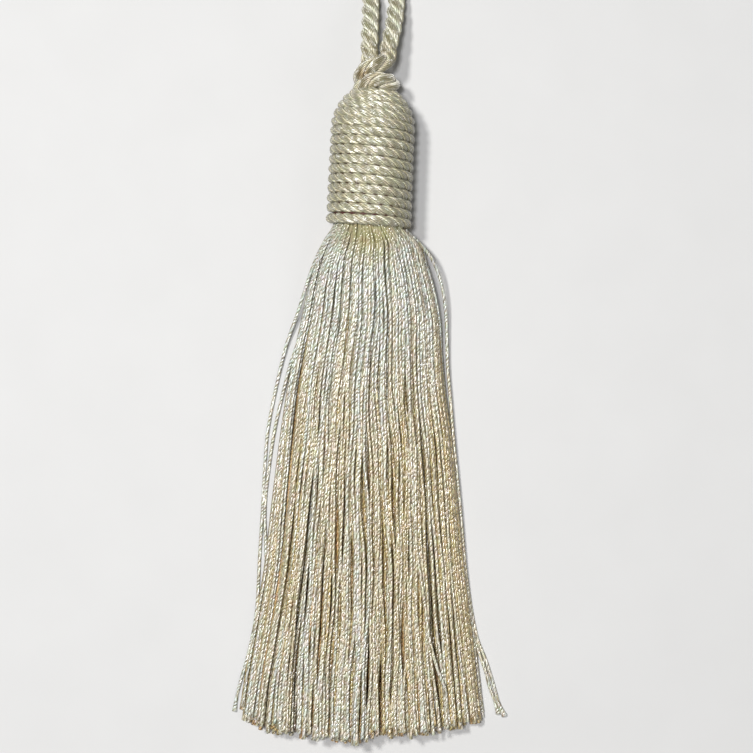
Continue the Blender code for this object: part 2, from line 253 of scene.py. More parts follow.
def makeThreadTwist():
    # Plies that wind round a thread. Their crowns are the size of the cosine of pi times the plies,
    # times the share of a turn less the turns made so far; noise along the run lets the twist come a
    # little early or late. Filaments are noise stretched along the run, and the height is the crown
    # with a share of them.
    group, takes, gives = startGroup("threadTwist", (
        ("Run", "Vector", None), ("Tint", "Float", 0.5), ("Plies", "Float", 2.0), ("Turns", "Float", 0.33),
        ("Wobble", "Float", 0.3), ("Offset", "Float", 1.0), ("Along", "Float", 0.8),
        ("Around", "Float", 9.0)), (
        ("Crown", "Float", None), ("Streak", "Float", None), ("Height", "Float", None)))
    apart = 731.0  # spreads the tints out, so that each thread has noise of its own
    wobbleRate = 0.23  # how often the twist changes its pace in a millimetre
    filamentHeight = 0.25  # height of a filament against a ply
    plyPower = 0.8  # below 1 the plies have narrow grooves
    parts = addNode(group, "ShaderNodeSeparateXYZ", {0: takes["Run"]}).outputs
    thread = maths(group, "MULTIPLY", takes["Tint"], apart)
    slow = addNode(group, "ShaderNodeCombineXYZ", {
        "X": maths(group, "MULTIPLY", parts["X"], wobbleRate), "Y": thread}).outputs[0]
    early = maths(group, "MULTIPLY", noise(group, slow, 1.0, 1.0)[0], takes["Wobble"])
    made = maths(group, "MULTIPLY_ADD", parts["X"], takes["Turns"], early)
    turn = maths(group, "SUBTRACT", parts["Y"], maths(group, "MULTIPLY_ADD", thread, takes["Offset"], made))
    angle = maths(group, "MULTIPLY", maths(group, "MULTIPLY", turn, takes["Plies"]), math.pi)
    crown = maths(group, "ABSOLUTE", maths(group, "COSINE", angle))
    place = addNode(group, "ShaderNodeCombineXYZ", {
        "X": maths(group, "MULTIPLY", parts["X"], takes["Along"]),
        "Y": maths(group, "MULTIPLY", turn, takes["Around"]), "Z": thread}).outputs[0]
    streak = ranged(group, noise(group, place, 1.0, 2.0, 0.7)[0], 0.3, 0.7)
    height = maths(group, "MULTIPLY_ADD", streak, filamentHeight, maths(group, "POWER", crown, plyPower))
    for label, value in (("Crown", crown), ("Streak", streak), ("Height", height)):
        group.links.new(value, gives[label])
    return group


colourKeys = ("cool", "cream", "gold", "olive", "groove", "middle", "rim", "crease")


def makeSilkTone():
    # Colour of the silk: cool, cream or golden by the thread's own tint with soft patches over many
    # threads, and the shade's colour where the mask says so, which is painted shade. It is multiplied by
    # the groove's colour between the plies, a painted shade; by middle to rim from a strand's crown to its
    # edges, a painted sheen that is brightest on the rims; by dull to bright along the streaks, partly the
    # filaments' own tone and partly painted sparkle; by the crease's colour at the very edges, a painted
    # shade where strands and threads meet; and by noise in each colour channel for a pearly shimmer. The
    # brightest streaks get painted glints, and the painted shade calms them.
    group, takes, gives = startGroup("silkTone", (
        ("Place", "Vector", None), ("Tint", "Float", 0.5), ("Crown", "Float", 1.0),
        ("Streak", "Float", 0.5), ("Edge", "Float", 0.0), ("Patches", "Vector", None),
        ("Patch Share", "Float", 0.5), ("Olive Share", "Float", 0.0), ("Dull", "Float", 0.8),
        ("Bright", "Float", 1.2), ("Pearl", "Float", 0.1), ("Rim From", "Float", 0.4),
        ("Glint", "Float", 0.0), ("Calm", "Float", 0.0),
        *((label.title(), "Color", None) for label in colourKeys)), (
        ("Colour", "Color", None),))
    white = (1.0, 1.0, 1.0, 1.0)
    glintColour = (0.95, 0.96, 0.95, 1.0)
    glintFrom = 0.75  # the streaks over this get a painted glint
    calmStreak = 0.45  # the streaks' even tone where they are calmed
    creaseFrom = 0.80  # where the painted rim highlight is full and the painted crease shade begins
    pearlScale = 700.0
    patches = vectorMaths(group, "MULTIPLY", takes["Place"], takes["Patches"])
    shift = maths(group, "ADD", noise(group, patches, 1.0, 2.0)[0], -0.5)
    warmth = maths(group, "MULTIPLY_ADD", shift, takes["Patch Share"], takes["Tint"], use_clamp=True)
    colour = mixed(group, ranged(group, warmth, 0.0, 0.5), takes["Cool"], takes["Cream"])
    colour = mixed(group, ranged(group, warmth, 0.5, 1.0), colour, takes["Gold"])
    # the shade's colour is painted shade where the mask says so
    colour = mixed(group, takes["Olive Share"], colour, takes["Olive"])

    calm = maths(group, "MULTIPLY", takes["Olive Share"], takes["Calm"])
    crown = maths(group, "MAXIMUM", takes["Crown"], calm)
    streak = addNode(group, "ShaderNodeMix", {0: calm, 2: takes["Streak"], 3: calmStreak}).outputs[0]
    # middle to rim: a painted sheen, brightest on the rims
    rim = ranged(group, takes["Edge"], takes["Rim From"], creaseFrom, interpolation_type="SMOOTHSTEP")
    colour = vectorMaths(group, "MULTIPLY", colour, mixed(group, rim, takes["Middle"], takes["Rim"]))
    # the groove's colour is painted shade between the plies
    colour = vectorMaths(group, "MULTIPLY", colour, mixed(group, crown, takes["Groove"], white))
    # dull to bright: partly the filaments' own tone and partly painted sparkle
    paler = ranged(group, streak, 0.0, 1.0, takes["Dull"], takes["Bright"])
    colour = vectorMaths(group, "MULTIPLY", colour, paler)
    # painted glints, near white, on the brightest streaks
    colour = mixed(group, ranged(group, streak, glintFrom, 1.0, 0.0, takes["Glint"]), colour, glintColour)
    # the crease's colour is painted shade at the very edges, where strands and threads meet
    crease = ranged(group, takes["Edge"], creaseFrom, 1.0)
    colour = vectorMaths(group, "MULTIPLY", colour, mixed(group, crease, white, takes["Crease"]))
    hues = vectorMaths(group, "SUBTRACT", noise(group, takes["Place"], pearlScale, 1.0)[1], (0.5, 0.5, 0.5))
    hues = vectorMaths(group, "MULTIPLY", hues, takes["Pearl"])
    hues = vectorMaths(group, "ADD", hues, (1.0, 1.0, 1.0))
    group.links.new(vectorMaths(group, "MULTIPLY", colour, hues), gives["Colour"])
    return group


threadTwist = makeThreadTwist()
silkTone = makeSilkTone()


def silkMaterial(name, look):
    # Twisted silk. The share of painted shade runs from inside to outside a soft ellipsoid, and the tint
    # warms up along the axes that the look names. The streaks run from roughest to smoothest, and the twist
    # gives the bump. The painted glints are fewer in the painted shade.
    oliveFrom, oliveTo = 0.5, 1.2  # the ellipsoid's soft edge, in shares of its size
    oliveGlint = 0.3  # share of the painted glint that is left in the painted shade
    material = bpy.data.materials.new(name)
    material.use_nodes = True
    tree = material.node_tree
    run = addNode(tree, "ShaderNodeUVMap", uv_map="run").outputs[0]
    place = addNode(tree, "ShaderNodeTexCoord").outputs["Object"]
    tint, edge = (addNode(tree, "ShaderNodeAttribute", attribute_name=mark).outputs["Fac"]
                  for mark in ("tint", "edge"))
    twist = addNode(tree, "ShaderNodeGroup", {"Run": run, "Tint": tint, **look["twist"]},
                    node_tree=threadTwist).outputs
    fromOlive = vectorMaths(tree, "SUBTRACT", place, [v * mm for v in look["oliveAt"]])
    share = vectorMaths(tree, "MULTIPLY", fromOlive, [1.0 / (v * mm) for v in look["oliveSize"]])
    away = addNode(tree, "ShaderNodeVectorMath", {0: share}, operation="LENGTH").outputs["Value"]
    # the share of painted shade
    olive = ranged(tree, away, oliveFrom, oliveTo, look["oliveInside"], look["oliveOutside"])
    glint = ranged(tree, olive, 0.0, 1.0, look["glint"], oliveGlint * look["glint"])
    axes = addNode(tree, "ShaderNodeSeparateXYZ", {0: place}).outputs
    warmed = tint
    for axis, start, end, first, last in look["warmer"]:
        warmed = maths(tree, "ADD", warmed, ranged(tree, axes[axis], start * mm, end * mm, first, last))
    tone = addNode(tree, "ShaderNodeGroup", {
        "Place": place, "Tint": warmed, "Crown": twist["Crown"], "Streak": twist["Streak"],
        "Olive Share": olive, "Edge": edge, "Patch Share": look["patchShare"],
        "Rim From": look["rimFrom"], "Glint": glint,
        **{key.title(): look[key] for key in ("patches", "calm", "dull", "bright", "pearl")},
        **{key.title(): (*look[key], 1.0) for key in colourKeys}}, node_tree=silkTone).outputs
    rough = ranged(tree, twist["Streak"], 0.0, 1.0, look["roughest"], look["smoothest"])
    bump = addNode(tree, "ShaderNodeBump", {
        "Strength": look["bump"], "Distance": look["bumpDepth"] * mm, "Height": twist["Height"]}).outputs[0]
    shader = tree.nodes["Principled BSDF"].inputs
    for label, socket in (("Base Color", tone["Colour"]), ("Roughness", rough), ("Normal", bump)):
        tree.links.new(socket, shader[label])
    for label, value in (("Specular IOR Level", look["gloss"]), ("IOR", look["ior"]),
                         ("Sheen Weight", look["sheen"]), ("Sheen Roughness", look["sheenRoughness"]),
                         ("Sheen Tint", (1.0, 0.99, 0.95, 1.0))):
        shader[label].default_value = value
    return material


def strandSection(cord):
    # Outline of one of three strands pressed together, as distances along and across the way out from
    # the cord's middle: an arc from groove to groove, then straight sides in to a blunt tip. Returned
    # at equal steps of its length, starting on the crown, with the directions that face out of it and
    # with how far each step is on its way from the crown to the groove.
    step, gap = 0.02, 0.02  # of the outline, and of air between two strands' sides
    blunt = 0.22  # the tip's distance from the middle as a share of the radius
    arcPoints, sidePoints = 60, 20
    outer, groove = cord["radius"], cord["groove"] * cord["radius"]
    centre = (outer**2 - groove**2) / (2 * outer - groove)
    arc = outer - centre
    half = math.atan2(groove * math.sin(math.pi / 3), groove * 0.5 - centre)
    turn = np.linspace(0.0, half, arcPoints)
    top = np.stack([centre + arc * np.cos(turn), arc * np.sin(turn)], axis=1)
    side = np.linspace(groove, blunt * outer, sidePoints)[1:, None] * np.array([[0.5, math.sin(math.pi / 3)]])
    upper = np.vstack([top, side])
    ring = np.vstack([upper, (upper * (1, -1))[:0:-1]])
    ring = ring - gap * np.sign(ring) * (0, 1)
    line = evenly(np.hstack([ring, np.zeros((len(ring), 1))]), step)[:-1, :2]
    slope = np.roll(line, -1, axis=0) - np.roll(line, 1, axis=0)
    slope /= np.linalg.norm(slope, axis=1)[:, None]
    fromCrown = step * np.minimum(np.arange(len(line)), np.arange(len(line), 0, -1))
    return np.column_stack([line, slope[:, 1], -slope[:, 0], np.minimum(fromCrown / (arc * half), 1.0)])


def layStrands(line, cord, slack):
    # Three strands laid round a line: the strands' section turns about the line once in a lay, to the
    # left or right by its sign, less where the cord is slack. It swells with two slow waves and sways
    # with a third. Ridges for the yarns run round the section once in a yarn lay.
    side, lift = directions(line)
    walked = distancesAlong(line)
    strands = np.arange(3)[:, None]
    uneven, swell = cord["uneven"], 1.0
    for radian, phase in ((3.1, 2.4), (7.7, 4.1)):  # millimetres a radian, radians from strand to strand
        swell = swell + uneven * np.sin(walked / radian + phase * strands)
    laid = np.cumsum(np.gradient(walked) * (1.0 - slack)) / cord["lay"]
    turn = 2 * math.pi * (laid + strands / 3) + 2.2 * uneven * np.sin(walked / 11.3)
    out = np.cos(turn)[..., None] * side + np.sin(turn)[..., None] * lift
    over = np.cos(turn)[..., None] * lift - np.sin(turn)[..., None] * side
    shape = strandSection(cord)
    corners = cord["yarns"] * cord["yarnCorners"]
    corner = np.arange(corners)
    ridge = cord["ridge"] * cord["radius"] * np.cos(2 * math.pi * corner / cord["yarnCorners"])
    place = ((corner / corners + (walked / cord["yarnLay"])[:, None]) % 1.0) * len(shape)
    flat = np.stack([np.interp(place, np.arange(len(shape)), column, period=len(shape))
                     for column in shape.T])
    edge = flat[4]
    flat = flat[:2] + ridge * flat[2:4]
    grid = line[:, None] + swell[..., None, None] * (
        flat[0][..., None] * out[:, :, None] + flat[1][..., None] * over[:, :, None])
    return grid, np.tile(walked, (3, 1)), edge


def ropeBlocks(line, cord, cuts=None, slack=0.0):
    # The strands of one line, cut at the given points into blocks that share their end rings. Their
    # tints lie below and above the cord's own by shares of the tint step.
    grid, run, edge = layStrands(line, cord, slack)
    cuts = cuts or (0, len(line) - 1)
    tints = cord["tint"] + cord["tintStep"] * np.array([-1.0, 0.2, 0.8])
    return [(grid[:, a:b + 1], run[:, a:b + 1], tints, edge[a:b + 1]) for a, b in zip(cuts, cuts[1:])]


hangingCord = {
    "radius": 2.05,
    "groove": 0.70,  # radius at the grooves as a share of the cord's
    "lay": -9.8,
    "yarns": 16, "yarnCorners": 3, "yarnLay": 8.6,
    "ridge": 0.028,
    "uneven": 0.012,
    "tint": 0.45, "tintStep": 0.08,
    "step": 0.5,
    "knotSlack": 0.15,  # how much longer the lay is drawn in the knot
    "length": 0.144,  # metres of free cord beyond the knot
}

# Across, above the rim, and height over the surface
loopRoute = (
    (-1.55, 40.1, 9.0), (-1.6, 42.4, 8.5), (-1.7, 45.6, 7.2), (-1.75, 50.0, 5.0), (-1.9, 54.5, 3.0),
    (-2.3, 59.0, 2.1), (-3.1, 64.5, 1.95), (-4.5, 71.5, 1.95), (-6.1, 79.5, 1.95), (-7.3, 87.5, 1.95),
    (-7.4, 94.5, 1.95), (-5.8, 100.7, 1.95), (-2.5, 104.7, 1.95), (1.7, 105.8, 1.95), (5.8, 104.0, 1.95),
    (8.9, 99.6, 1.95), (10.1, 93.0, 1.95), (9.8, 86.0, 1.95), (8.6, 78.0, 1.95), (7.1, 70.5, 1.95),
    (5.8, 64.0, 1.95), (4.9, 59.0, 2.1), (4.35, 54.5, 3.0), (4.05, 50.0, 5.0), (3.6, 45.6, 7.2),
    (3.05, 42.4, 8.5), (2.75, 40.1, 9.0),
)

# Across, above the rim, and height over the middle of the neck
neckHeight = 8.7
knotStem = (
    (0.4, 29.5, 0.0), (0.4, 32.2, 0.0), (0.0, 34.4, 0.1), (-1.0, 36.6, 0.2), (-1.45, 38.4, 0.3),
)
knotWrap = (
    (2.7, 38.7, 0.5), (2.3, 37.5, 1.4), (0.9, 36.7, 2.9), (-1.0, 35.8, 3.5), (-2.6, 34.6, 2.5),
    (-3.0, 33.6, 0.0), (-2.1, 33.0, -2.4), (0.0, 32.6, -3.4), (2.4, 32.4, -2.4), (3.8, 32.3, 0.0),
    (3.2, 32.5, 2.2), (1.4, 32.9, 3.4), (-0.8, 32.6, 3.3), (-2.4, 31.6, 2.3), (-3.0, 30.4, 1.0),
    (-2.6, 29.2, 0.0),
)


def onSurface(route, level=0.0):
    # A route's points in the scene: y is the rim's plus what lies above it, z the level plus the
    # height.
    return [(x, rimY + above, level + height) for x, above, height in route]


# Each row of "warmer" is an axis, where it starts and ends, and what it adds to the tint at either end.
cordLook = {
    "twist": {"Plies": 16.0, "Turns": 0.0, "Wobble": 0.0, "Offset": 0.0, "Along": 1.2, "Around": 11.0},
    "cool": (0.46, 0.47, 0.37),
    "cream": (0.43, 0.415, 0.30),
    "gold": (0.37, 0.33, 0.21),
    # shade: painted shade in the hollow of the knot; groove: painted shade between the yarns; middle to rim:
    # a painted sheen, brightest on the strands' rims
    "olive": (0.25, 0.185, 0.09),
    "groove": (0.30, 0.27, 0.20),
    "middle": (0.70, 0.68, 0.55),
    "rim": (1.85, 1.90, 2.00),
    "oliveAt": (-2.6, rimY + 33.8, neckHeight + 4.0), "oliveSize": (1.8, 2.0, 6.0),
    "oliveInside": 0.85, "oliveOutside": 0.0,
    "patches": (140.0, 140.0, 140.0), "patchShare": 0.7,
    "warmer": (("Y", rimY + 45.0, rimY + 38.0, 0.0, 0.4),),
    "dull": 0.65, "bright": 1.4, "pearl": 0.2,
    # crease: painted shade where the strands meet; glint: painted glints on the brightest streaks
    "rimFrom": 0.40, "crease": (0.30, 0.27, 0.21), "glint": 0.8, "calm": 0.0,
    "roughest": 0.50, "smoothest": 0.34,
    "bump": 1.0, "bumpDepth": 0.10, "gloss": 1.0, "ior": 1.65, "sheen": 1.0, "sheenRoughness": 0.3,
}
cordSilk = silkMaterial("cordSilk", cordLook)

# One cord runs up out of the head, round the loop and back into the knot. It is cut where the loop
# begins and ends, and both pieces share those rings.
cordLine = smoothRoute(onSurface(knotStem, neckHeight) + onSurface(loopRoute)
                       + onSurface(knotWrap, neckHeight), hangingCord["step"])
cuts = [int(np.linalg.norm(cordLine - onSurface([loopRoute[end]]), axis=1).argmin()) for end in (0, -1)]
pastLoop = (np.arange(len(cordLine)) - cuts[1]) * hangingCord["step"]
knotSlack = hangingCord["knotSlack"] * np.clip((pastLoop - 0.5) / 4.0, 0.0, 1.0)  # grows over 4 mm
cordBlocks = ropeBlocks(cordLine, hangingCord, (0, *cuts, len(cordLine) - 1), knotSlack)
for block in cordBlocks:
    block[0][..., 2] = np.maximum(block[0][..., 2], 0.0)  # pressed flat where it rests on the surface

hangingLoop = tubePiece("hanging_cord", [cordBlocks[1]], cordSilk, endRise=0.1)
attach(hangingLoop, "root")
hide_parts("hanging_loop")

neckKnot = tubePiece("neck_cord", [cordBlocks[0], cordBlocks[2]], cordSilk, endRise=0.1)
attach(neckKnot, "root")
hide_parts("neck_knot")
print("cords laid")


headSet = {
    "barrel": 22.0,
    "domeRise": 10.5,
    "length": 31.0,
    "rimRadius": 9.9,
    "shoulderRadius": 9.75,
    "sunk": 0.8,  # how far the barrel is pressed into the surface
    "firstRadius": 2.2,
    "turns": 16,  # times the cord passes over the upper side
    "below": 1.0,  # how far the outline is carried on past the rim
    "outlineStep": 0.1,
    "lastAbove": 0.45,  # middle of the last turn over the rim
    "slit": 0.30,  # extra room before the last turn
    "tilt": 0.20,  # how far the first turns lean to the right
    "mouldGap": 1.5,
    "mouldLow": 1.2,  # the mould ends this far above the rim
    "mouldFloor": 1.9,  # and this far over the surface
    "recessRadius": 8.3,
    "recessDepth": 4.0,
}
windingCord = {
    "radius": 1.17,
    "groove": 0.70,
    "lay": 8.0,
    "yarns": 10, "yarnCorners": 2, "yarnLay": -7.0,
    "ridge": 0.020,
    "uneven": 0.015,
    "tint": 0.5, "tintStep": 0.07,
    "step": 0.5,
}
headLook = {
    "twist": {"Plies": 10.0, "Turns": 0.0, "Wobble": 0.0, "Offset": 0.0, "Along": 1.1, "Around": 11.0},
    "cool": (0.505, 0.507, 0.425),
    "cream": (0.43, 0.415, 0.295),
    "gold": (0.355, 0.32, 0.19),
    # shade: painted shade on the head's sides, away from its bright middle band; groove: painted shade
    # between the yarns; middle to rim: painted highlight lines along the strands' edges
    "olive": (0.175, 0.158, 0.075),
    "groove": (0.34, 0.30, 0.21),
    "middle": (0.84, 0.835, 0.78),
    "rim": (2.0, 2.0, 2.05),
    "oliveAt": (-0.8, rimY, 0.0), "oliveSize": (9.0, 900.0, 900.0),
    "oliveInside": 0.0, "oliveOutside": 0.9,
    "patches": (120.0, 120.0, 120.0), "patchShare": 0.7, "warmer": (),
    "dull": 0.55, "bright": 1.7, "pearl": 0.2,
    # crease: near-black painted shade where the strands meet; glint: painted glints on the brightest streaks
    "rimFrom": 0.50, "crease": (0.08, 0.07, 0.05), "glint": 1.0, "calm": 0.0,
    "roughest": 0.34, "smoothest": 0.20,
    "bump": 1.0, "bumpDepth": 0.08, "gloss": 1.0, "ior": 1.8, "sheen": 0.15, "sheenRoughness": 0.3,
}


def headAxis(above):
    # Height of the head's middle: it rests on its barrel, which narrows from the rim to the shoulder.
    share = np.clip(above / headSet["barrel"], 0.0, 1.0)
    radius = headSet["rimRadius"] + (headSet["shoulderRadius"] - headSet["rimRadius"]) * share
    return radius - headSet["sunk"]


def headOutline(inward):
    # Radius and height above the rim along the head, from the flat top round a quarter ellipse, down a
    # straight flared barrel and a little past the rim, all moved inwards by a distance square to the
    # surface.
    topAngle = math.asin((headSet["length"] - headSet["barrel"]) / headSet["domeRise"])
    dome = np.linspace(topAngle, 0.0, 80)
    radius = [headSet["firstRadius"], *(headSet["shoulderRadius"] * np.cos(dome)), headSet["rimRadius"]]
    above = [headSet["length"], *(headSet["barrel"] + headSet["domeRise"] * np.sin(dome)),
             -headSet["below"]]
    flat = evenly(np.stack([radius, above, np.zeros(len(above))], axis=1), headSet["outlineStep"])[:, :2]
    slope = np.gradient(flat, axis=0)
    slope /= np.linalg.norm(slope, axis=1)[:, None]
    return flat - inward * np.stack([-slope[:, 1], slope[:, 0]], axis=1)


def windingLine():
    # A helix over the outline: the place along it grows by a pitch a turn. The turns run clockwise as
    # they come down, cross the upper side at three quarters, and lean by a cosine that fades towards
    # the rim. The slit opens over 0.4 of a turn before the last one.
    outline = headOutline(windingCord["radius"])
    walked = headSet["outlineStep"] * np.arange(len(outline))
    end = float(np.interp(-headSet["lastAbove"], -outline[:, 1], walked))
    last = headSet["turns"] - 0.25  # where the cord crosses the upper side the last time
    pitch = (end - headSet["slit"]) / last
    turns = np.linspace(0.0, last + 0.5, 6000)  # it ends half a turn further, on the underside
    angle = 2 * math.pi * turns
    lean = headSet["tilt"] * np.cos(angle) * np.clip(1.3 - turns / last, 0.0, 1.0)
    room = headSet["slit"] * np.clip((turns - (last - 0.7)) / 0.4, 0.0, 1.0)
    place = np.clip(pitch * turns + lean * np.clip(turns, 0.0, 1.0) + room, 0.0, end)
    radius, above = (np.interp(place, walked, outline[:, i]) for i in (0, 1))
    height = softFloor(headAxis(above) - radius * np.sin(angle), windingCord["radius"])
    line = np.stack([radius * np.cos(angle), rimY + above, height], axis=1)
    return evenly(line, windingCord["step"])


def mouldGrid(steps=72):
    # The form inside the winding, turned about the head's axis: down its outside, in at the rim and up
    # the recess that holds the roots of the skirt.
    outline = headOutline(headSet["mouldGap"])
    low, inner, pole = headSet["mouldLow"], headSet["recessRadius"], 0.4
    outline = outline[outline[:, 1] > low][::8]  # coarser than the winding's, a point every 0.8 mm
    recess = [(inner, low), (inner, headSet["recessDepth"]), (pole, headSet["recessDepth"])]
    profile = np.vstack([[(pole, outline[0, 1])], outline, [(outline[-1, 0], low)], recess])
    turn = 2 * math.pi * np.arange(steps) / steps
    radius, above = profile[:, :1], profile[:, 1:]
    height = softFloor(headAxis(above) + radius * np.sin(turn), headSet["mouldFloor"])
    grid = np.stack([radius * np.cos(turn), rimY + above + 0 * turn, height], axis=2)[None]
    return grid, distancesAlong(profile)[None], np.array([0.5]), 0.0


headSilk = silkMaterial("headSilk", headLook)
winding = tubePiece("head_winding", ropeBlocks(windingLine(), windingCord), headSilk, endRise=0.1)
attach(winding, "root")
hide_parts("wound_head")


mouldLook = {
    # seen only as a dark red-brown line between turns
    "dark": (0.035, 0.010, 0.008, 1.0),
    "light": (0.09, 0.028, 0.02, 1.0),
    "grainScale": 900.0, "bump": 0.3, "bumpDepth": 0.05, "rough": 0.7,
}


def grainMaterial(name, look):
    # A plain matt surface: noise gives its grain, from dark to light, and its bump.
    material = bpy.data.materials.new(name)
    material.use_nodes = True
    tree = material.node_tree
    place = addNode(tree, "ShaderNodeTexCoord").outputs["Object"]
    grain = noise(tree, place, look["grainScale"], 3.0)[0]
    shader = tree.nodes["Principled BSDF"].inputs
    shader["Roughness"].default_value = look["rough"]
    tree.links.new(mixed(tree, grain, look["dark"], look["light"]), shader["Base Color"])
    if look["bump"]:
        bump = addNode(tree, "ShaderNodeBump", {
            "Strength": look["bump"], "Distance": look["bumpDepth"] * mm, "Height": grain}).outputs[0]
        tree.links.new(bump, shader["Normal"])
    return material


mould = tubePiece("head_mould", [mouldGrid()], grainMaterial("mouldWood", mouldLook))
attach(mould, "root")
print("head wound")


skirtSet = {
    "threads": 700,
    "seed": 7,
    "jitter": 0.05,
    "shell": 0.80,  # power on the distance from the bundle's middle; below 1 crowds the outside
    "rootBelow": -3.0,
    "uneven": 1.1,
    "radius": 0.385,
    "sizes": (0.86, 1.12),  # the thinnest and the thickest thread as shares of the radius
    "rings": 100, "corners": 6,
    "innerRings": 50, "innerCorners": 4,
    "opening": 0.25,  # how much a cut end opens
    # size of a wave along the threads, and the millimetres of it that make a radian
    "wander": (0.5, 17.0),  # sideways, shared by neighbours
    "ownWander": (0.30, 8.3),
    "tangle": (0.16, 3.7),
    "bob": (0.12, 6.1),  # up and down
    "drift": 0.6,
    # locks: radians over half the width, sideways size as a share of it, and phase
    "locks": ((11.0, 0.028, 0.7), (27.0, 0.012, 2.1)),
    "lockLean": 0.9,  # radians from the bundle's middle to its top
    "lockDrift": 0.0015,  # how far locks move sideways in a millimetre
    "lockRise": 0.12,
    "warmest": 0.8,  # tints go from 0 to this, most of them near the middle
    "coveredBy": 3,  # threads lying over one before it counts as hidden
    # painted shade: covered threads are made warmer and darker
    "deeper": 0.42,  # how much warmer a thread is for each of the first two over it
    "strayTint": 0.12, "strayStep": 0.8, "strayCorners": 8,
}

# Below the rim, left edge, right edge, half height, lowest thread, how flat it lies (0 round, 1 flat)
skirtSections = np.array((
    (-4.0, -7.4, 7.4, 7.4, 1.60, 0.00),
    (0.4, -7.6, 7.8, 7.4, 1.45, 0.00),
    (4.0, -9.9, 12.0, 7.2, 0.75, 0.30),
    (8.0, -11.7, 13.8, 7.1, 0.45, 0.55),
    (13.3, -13.0, 15.7, 6.9, 0.38, 0.80),
    (21.0, -14.2, 17.7, 6.6, 0.38, 0.95),
    (29.0, -15.6, 18.5, 6.3, 0.38, 1.00),
    (37.0, -16.8, 19.5, 6.0, 0.38, 1.00),
    (50.0, -18.2, 21.9, 5.6, 0.38, 1.00),
    (66.0, -19.5, 24.2, 5.3, 0.38, 1.00),
    (82.0, -20.7, 26.8, 5.0, 0.38, 1.00),
    (94.0, -22.3, 28.9, 4.8, 0.38, 1.00),
    (104.0, -23.7, 30.6, 4.6, 0.38, 1.00),
    (122.0, -25.4, 33.4, 4.4, 0.38, 1.00),
))

# Across, and how far below the rim the threads are cut there
hemLine = np.array((
    (-26.0, 114.2), (-23.3, 115.8), (-18.6, 117.2), (-12.8, 117.8), (-10.9, 118.6), (-7.0, 118.1),
    (-1.7, 118.6), (2.0, 119.6), (4.0, 117.8), (9.0, 117.0), (16.6, 116.8), (23.2, 115.6), (29.8, 114.0),
    (34.0, 111.5),
))

# Threads that leave the bundle: across, below the rim, height; then how much the cut end opens
strayRoutes = (
    (((-7.0, -3.0, 8.0), (-7.5, 0.4, 8.0), (-9.9, 4.2, 7.0), (-11.7, 7.9, 5.8), (-13.4, 12.9, 4.4),
      (-15.5, 20.3, 2.6), (-17.7, 27.3, 1.3), (-19.0, 33.0, 0.7), (-20.5, 41.5, 0.45), (-21.5, 48.8, 0.4),
      (-21.8, 55.7, 0.4), (-21.9, 66.2, 0.4), (-22.1, 78.0, 0.4), (-22.2, 89.7, 0.4), (-22.7, 95.3, 0.45),
      (-24.0, 102.4, 0.5), (-25.0, 106.5, 0.45), (-25.9, 110.6, 0.4), (-26.4, 114.7, 0.4)), 0.5),
    (((-7.2, -3.0, 7.0), (-7.6, 0.4, 7.0), (-10.2, 6.0, 5.8), (-12.5, 13.3, 4.6), (-13.6, 19.0, 3.4),
      (-15.6, 28.7, 2.1), (-16.8, 32.6, 1.4), (-18.9, 42.6, 0.5), (-20.1, 49.9, 0.4), (-20.9, 58.0, 0.4),
      (-21.35, 64.0, 0.45), (-21.3, 69.0, 0.4), (-20.7, 76.6, 0.45), (-20.4, 84.0, 0.5), (-21.6, 95.0, 0.5),
      (-23.3, 107.0, 0.5), (-24.2, 114.4, 0.4)), 0.3),
    (((7.0, -3.0, 8.2), (8.4, 0.6, 8.2), (10.4, 2.4, 7.6), (13.2, 4.9, 6.6), (15.0, 7.1, 5.8),
      (16.7, 10.4, 4.8), (17.9, 14.2, 3.9), (18.8, 18.8, 3.0), (19.3, 24.0, 2.2), (19.9, 31.7, 1.6),
      (20.9, 39.5, 1.4), (22.2, 50.0, 1.6), (24.2, 64.0, 1.5), (26.3, 80.0, 1.4), (28.6, 94.0, 1.2),
      (31.7, 113.4, 0.8)), 0.3),
    (((7.3, -3.0, 7.5), (7.7, 0.4, 7.4), (11.6, 4.0, 6.6), (13.6, 8.5, 6.0), (15.6, 14.0, 5.2),
      (17.3, 21.0, 4.0), (18.1, 29.0, 3.0), (19.2, 37.0, 2.4), (21.5, 50.0, 1.8), (23.9, 66.0, 1.2),
      (26.4, 80.0, 0.7), (28.3, 89.7, 0.45), (29.9, 95.6, 0.4), (31.85, 99.9, 0.4), (33.2, 103.5, 0.4),
      (34.4, 107.0, 0.4), (35.5, 110.2, 0.4), (36.9, 113.0, 0.4)), 0.9),
    (((7.1, -3.0, 6.9), (7.5, 0.4, 6.8), (10.8, 4.0, 6.2), (13.0, 8.5, 5.6), (15.0, 14.0, 4.6),
      (16.8, 21.0, 3.5), (17.7, 29.0, 2.6), (18.7, 37.0, 2.0), (21.0, 50.0, 1.6), (23.4, 66.0, 1.1),
      (25.9, 80.0, 0.8), (27.9, 90.0, 0.6), (29.2, 95.5, 0.5), (30.6, 99.2, 0.45), (32.0, 102.7, 0.4),
      (33.1, 106.3, 0.4), (34.4, 109.4, 0.4), (35.5, 112.6, 0.4)), 0.7),
    (((4.0, -3.0, 14.6), (4.2, 0.4, 14.4), (6.4, 6.0, 14.0), (8.4, 13.0, 13.4), (10.0, 25.0, 12.2),
      (11.2, 40.0, 11.0), (12.6, 58.0, 9.9), (14.4, 74.0, 9.2), (16.6, 85.7, 8.9), (18.4, 95.3, 8.6),
      (20.3, 101.2, 8.1), (22.6, 107.1, 7.4), (23.0, 115.6, 6.6)), 0.3),
)


